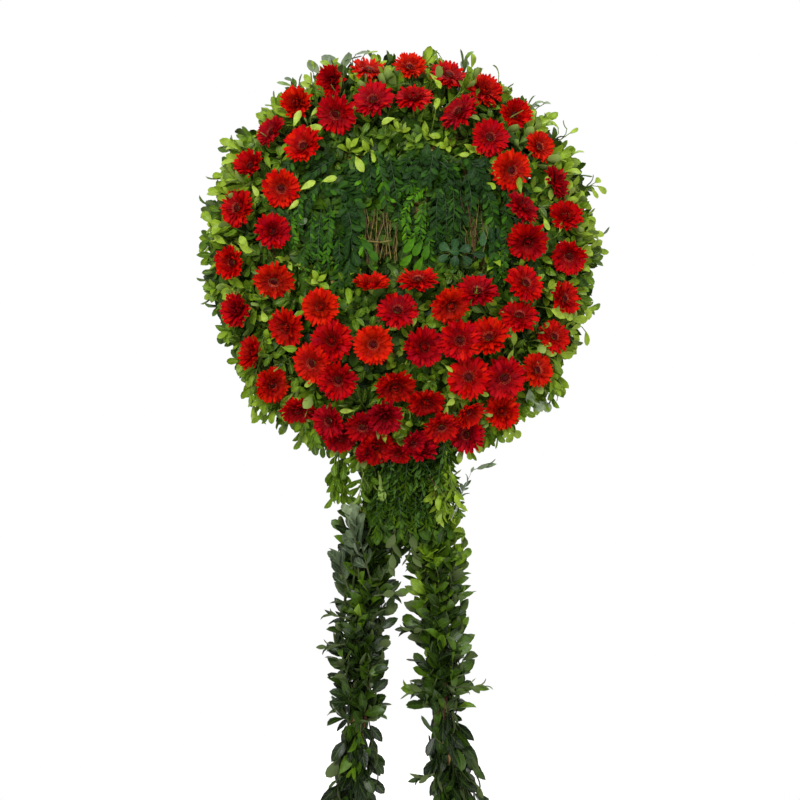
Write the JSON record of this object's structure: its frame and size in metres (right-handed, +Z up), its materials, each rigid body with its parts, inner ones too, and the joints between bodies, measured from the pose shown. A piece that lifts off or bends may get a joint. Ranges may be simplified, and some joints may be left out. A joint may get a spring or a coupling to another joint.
{
  "type": "memorial wreath",
  "caption": "Standing memorial wreath: a round, domed head of red gerberas and green foliage on a leaf-covered wooden easel whose rear frame folds.",
  "frame": {"origin": "on the floor, under the middle of the wreath's outline", "axes": "+Z up, the front of the wreath faces -Y, +X to the viewer's right"},
  "size_m": [0.9398, 0.6862, 1.9058],
  "materials": {
    "pine": "matte",
    "plywood": "matte",
    "steel": "satin",
    "straw": "matte",
    "petals": "satin",
    "rim_leaves": "satin",
    "fronds": "satin",
    "leg_leaves": "satin"
  },
  "bodies": {
    "front": {"backing_board": "plywood", "board_screw_left": "steel", "board_screw_right": "steel", "frond_bunch_left": "fronds", "frond_bunch_middle": "fronds", "frond_bunch_right": "fronds", "front_hinge_rail": "pine", "front_leg_left": "pine", "front_leg_right": "pine", "front_lower_rail": "pine", "gerbera_01": "petals", "gerbera_03": "petals", "gerbera_05": "petals", "gerbera_07": "petals", "gerbera_09": "petals", "gerbera_11": "petals", "gerbera_12": "petals", "gerbera_14": "petals", "gerbera_16": "petals", "gerbera_17": "petals", "gerbera_19": "petals", "gerbera_20": "petals", "gerbera_21": "petals", "gerbera_22": "petals", "gerbera_23": "petals", "gerbera_25": "petals", "gerbera_30": "petals", "gerbera_32": "petals", "gerbera_34": "petals", "gerbera_37": "petals", "gerbera_38": "petals", "gerbera_40": "petals", "gerbera_42": "petals", "gerbera_43": "petals", "gerbera_46": "petals", "gerbera_48": "petals", "gerbera_50": "petals", "gerbera_54": "petals", "gerbera_57": "petals", "gerbera_61": "petals", "hanging_foliage": "rim_leaves", "hinge_fixed_leaf": "steel", "hinge_pin": "steel", "leg_foliage_left_lower": "leg_leaves", "leg_foliage_left_middle": "leg_leaves", "leg_foliage_left_upper": "leg_leaves", "leg_foliage_right_lower": "leg_leaves", "leg_foliage_right_middle": "leg_leaves", "leg_foliage_right_upper": "leg_leaves", "rim_foliage_lower_left": "rim_leaves", "rim_foliage_lower_right": "rim_leaves", "rim_foliage_upper_left": "rim_leaves", "rim_foliage_upper_right": "rim_leaves", "straw_pad": "straw"},
    "rear_frame": {"rear_leg_left": "pine", "rear_leg_right": "pine", "rear_hinge_rail": "pine", "rear_lower_rail": "pine", "hinge_moving_leaf": "steel"}
  },
  "joints": [
    {"name": "rear_frame_fold", "type": "hinge", "parent": "front", "child": "rear_frame", "pos_m": [0, -0.0771, 1.2964], "axis": [1, 0, 0], "range_deg": [-22, 0]}
  ]
}
